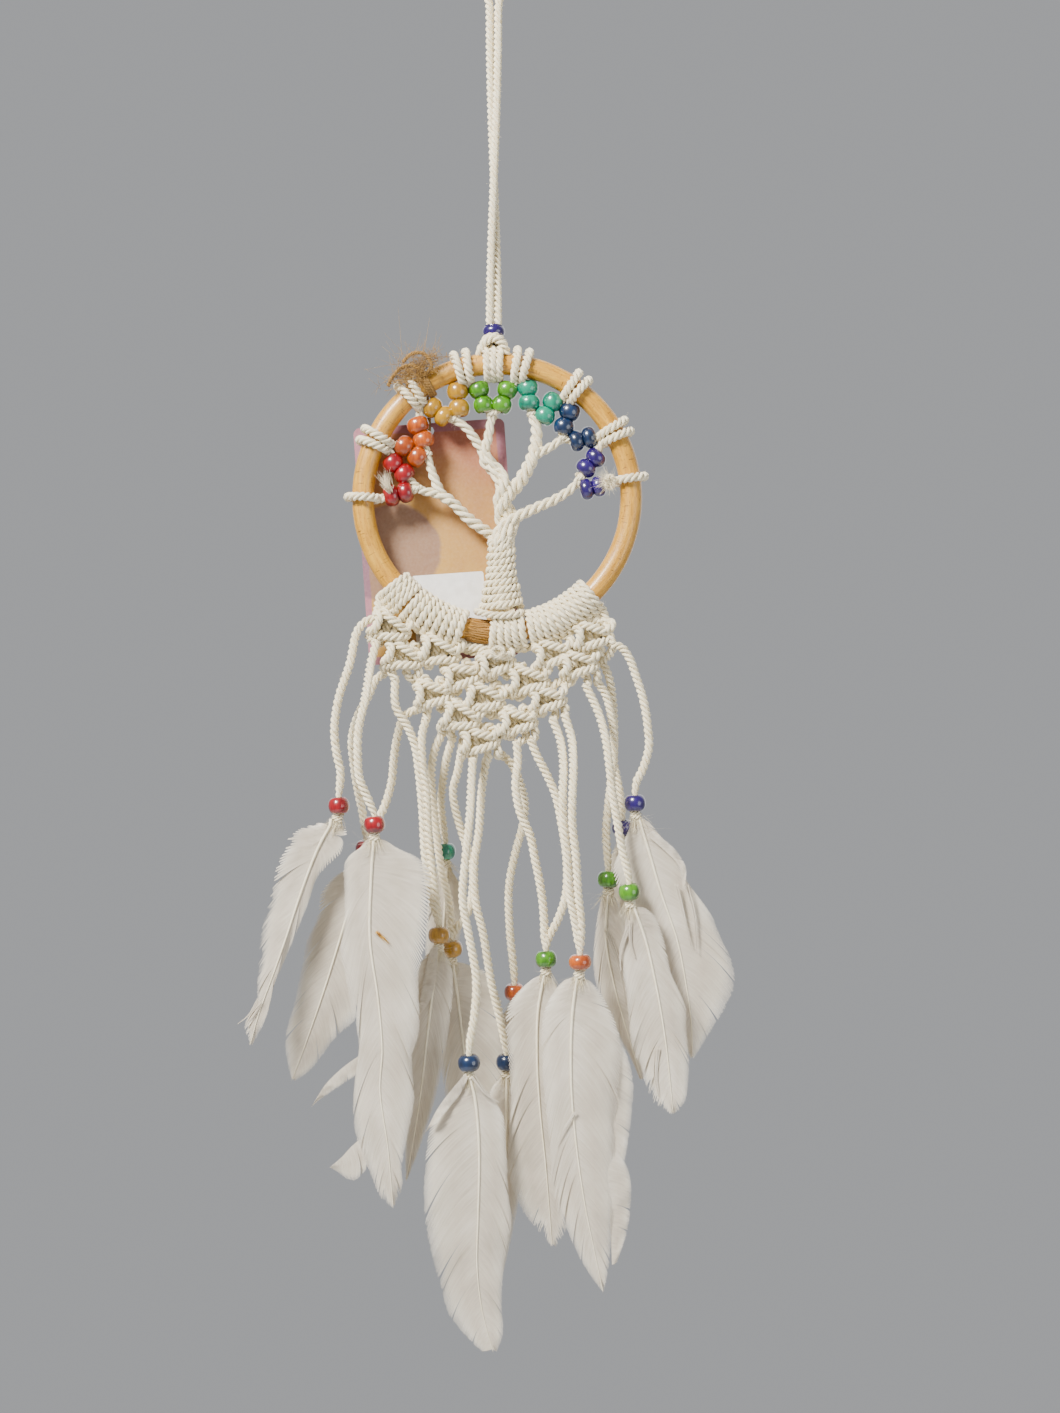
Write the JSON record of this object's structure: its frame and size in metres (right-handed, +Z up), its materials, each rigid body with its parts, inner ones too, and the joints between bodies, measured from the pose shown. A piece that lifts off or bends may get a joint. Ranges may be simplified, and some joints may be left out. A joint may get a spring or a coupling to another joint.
{
  "type": "dream catcher",
  "caption": "Hanging dream catcher: a rattan hoop with a wrapped cotton tree, a knotted net below it, and swaying cords that end in lacquered beads and feathers.",
  "frame": {"origin": "inner top of the hanging cord's loop, where a nail or hook carries it", "axes": "+Z up, along the taut hanging cord; -Y is the front that the tree faces; +X to the viewer's right; the hoop lies in the XZ plane"},
  "size_m": [0.1744, 0.044, 0.5389],
  "materials": {
    "cotton_cord": "matte",
    "rattan": "gloss",
    "feather_vane": "satin",
    "jute": "matte",
    "printed_card": "satin",
    "red_lacquer": "gloss",
    "orange_lacquer": "gloss",
    "yellow_lacquer": "gloss",
    "green_lacquer": "gloss",
    "teal_lacquer": "gloss",
    "navy_lacquer": "gloss",
    "purple_lacquer": "gloss"
  },
  "bodies": {
    "hanger": {"hanger_cord": "cotton_cord"},
    "slide_bead": {"hanger_bead": "purple_lacquer"},
    "hoop": {"hoop": "rattan", "hanger_knot": "cotton_cord", "net_hitches": "cotton_cord", "macrame_net": "cotton_cord", "tree_trunk": "cotton_cord", "leaf_red": "red_lacquer", "leaf_orange": "orange_lacquer", "leaf_yellow": "yellow_lacquer", "leaf_green": "green_lacquer", "leaf_teal": "teal_lacquer", "leaf_navy": "navy_lacquer", "leaf_purple": "purple_lacquer", "tag_twine": "jute"},
    "tag": {"hang_tag": "printed_card"},
    "red_1": {"red_1_cord": "cotton_cord", "red_1_bead": "red_lacquer", "red_1_feather": "feather_vane"},
    "red_2": {"red_2_cord": "cotton_cord", "red_2_bead": "red_lacquer", "red_2_feather": "feather_vane"},
    "red_3": {"red_3_cord": "cotton_cord", "red_3_bead": "red_lacquer", "red_3_feather": "feather_vane"},
    "yellow_1": {"yellow_1_cord": "cotton_cord", "yellow_1_bead": "yellow_lacquer", "yellow_1_feather": "feather_vane"},
    "yellow_2": {"yellow_2_cord": "cotton_cord", "yellow_2_bead": "yellow_lacquer", "yellow_2_feather": "feather_vane"},
    "teal": {"teal_cord": "cotton_cord", "teal_bead": "teal_lacquer"},
    "navy_1": {"navy_1_cord": "cotton_cord", "navy_1_bead": "navy_lacquer", "navy_1_feather": "feather_vane"},
    "navy_2": {"navy_2_cord": "cotton_cord", "navy_2_bead": "navy_lacquer", "navy_2_feather": "feather_vane"},
    "orange_1": {"orange_1_cord": "cotton_cord", "orange_1_bead": "orange_lacquer", "orange_1_feather": "feather_vane"},
    "green_1": {"green_1_cord": "cotton_cord", "green_1_bead": "green_lacquer", "green_1_feather": "feather_vane"},
    "orange_2": {"orange_2_cord": "cotton_cord", "orange_2_bead": "orange_lacquer", "orange_2_feather": "feather_vane"},
    "green_2": {"green_2_cord": "cotton_cord", "green_2_bead": "green_lacquer", "green_2_feather": "feather_vane"},
    "green_3": {"green_3_cord": "cotton_cord", "green_3_bead": "green_lacquer", "green_3_feather": "feather_vane"},
    "purple_1": {"purple_1_cord": "cotton_cord", "purple_1_bead": "purple_lacquer", "purple_1_feather": "feather_vane"},
    "purple_2": {"purple_2_cord": "cotton_cord", "purple_2_bead": "purple_lacquer", "purple_2_feather": "feather_vane"}
  },
  "joints": [
    {"name": "bead_slide", "type": "slide", "parent": "hanger", "child": "slide_bead", "axis": [0, 0, 1], "range_m": [0, 0.09]},
    {"name": "hoop_turn", "type": "hinge", "parent": "hanger", "child": "hoop", "pos_m": [0, 0, -0.1567], "axis": [0, 0, 1], "range_deg": [-180, 180]},
    {"name": "tag_sway", "type": "hinge", "parent": "hoop", "child": "tag", "pos_m": [-0.025, 0.0089, -0.1885], "axis": [0, 1, 0], "range_deg": [-12, 12]},
    {"name": "red_1_sway", "type": "hinge", "parent": "hoop", "child": "red_1", "pos_m": [-0.0443, -0.0049, -0.2601], "axis": [0, 1, 0], "range_deg": [0, 15]},
    {"name": "red_2_sway", "type": "hinge", "parent": "hoop", "child": "red_2", "pos_m": [-0.0425, -0.0166, -0.2694], "axis": [0, 1, 0], "range_deg": [-12, 12]},
    {"name": "red_3_sway", "type": "hinge", "parent": "hoop", "child": "red_3", "pos_m": [-0.0401, 0.0066, -0.2806], "axis": [0, 1, 0], "range_deg": [0, 15]},
    {"name": "yellow_1_sway", "type": "hinge", "parent": "hoop", "child": "yellow_1", "pos_m": [-0.0257, -0.001, -0.2836], "axis": [0, 1, 0], "range_deg": [-12, 12]},
    {"name": "yellow_2_sway", "type": "hinge", "parent": "hoop", "child": "yellow_2", "pos_m": [-0.0134, 0.0113, -0.3036], "axis": [0, 1, 0], "range_deg": [-4, 8]},
    {"name": "teal_sway", "type": "hinge", "parent": "hoop", "child": "teal", "pos_m": [-0.0185, 0.0154, -0.3058], "axis": [0, 1, 0], "range_deg": [-12, 6]},
    {"name": "navy_1_sway", "type": "hinge", "parent": "hoop", "child": "navy_1", "pos_m": [-0.0089, -0.0108, -0.3144], "axis": [0, 1, 0], "range_deg": [-12, 12]},
    {"name": "navy_2_sway", "type": "hinge", "parent": "hoop", "child": "navy_2", "pos_m": [0.0014, 0.0063, -0.3145], "axis": [0, 1, 0], "range_deg": [-12, 12]},
    {"name": "orange_1_sway", "type": "hinge", "parent": "hoop", "child": "orange_1", "pos_m": [0.0092, 0.0161, -0.3118], "axis": [0, 1, 0], "range_deg": [-12, 12]},
    {"name": "green_1_sway", "type": "hinge", "parent": "hoop", "child": "green_1", "pos_m": [0.0183, -0.0053, -0.3068], "axis": [0, 1, 0], "range_deg": [-12, 12]},
    {"name": "orange_2_sway", "type": "hinge", "parent": "hoop", "child": "orange_2", "pos_m": [0.0325, -0.0161, -0.2976], "axis": [0, 1, 0], "range_deg": [-12, 12]},
    {"name": "green_2_sway", "type": "hinge", "parent": "hoop", "child": "green_2", "pos_m": [0.0468, 0.001, -0.2845], "axis": [0, 1, 0], "range_deg": [-12, 12]},
    {"name": "green_3_sway", "type": "hinge", "parent": "hoop", "child": "green_3", "pos_m": [0.0347, -0.0105, -0.286], "axis": [0, 1, 0], "range_deg": [-8, 0]},
    {"name": "purple_1_sway", "type": "hinge", "parent": "hoop", "child": "purple_1", "pos_m": [0.0408, 0.0114, -0.2767], "axis": [0, 1, 0], "range_deg": [-15, 0]},
    {"name": "purple_2_sway", "type": "hinge", "parent": "hoop", "child": "purple_2", "pos_m": [0.0466, -0.0054, -0.2701], "axis": [0, 1, 0], "range_deg": [-15, 0]}
  ]
}
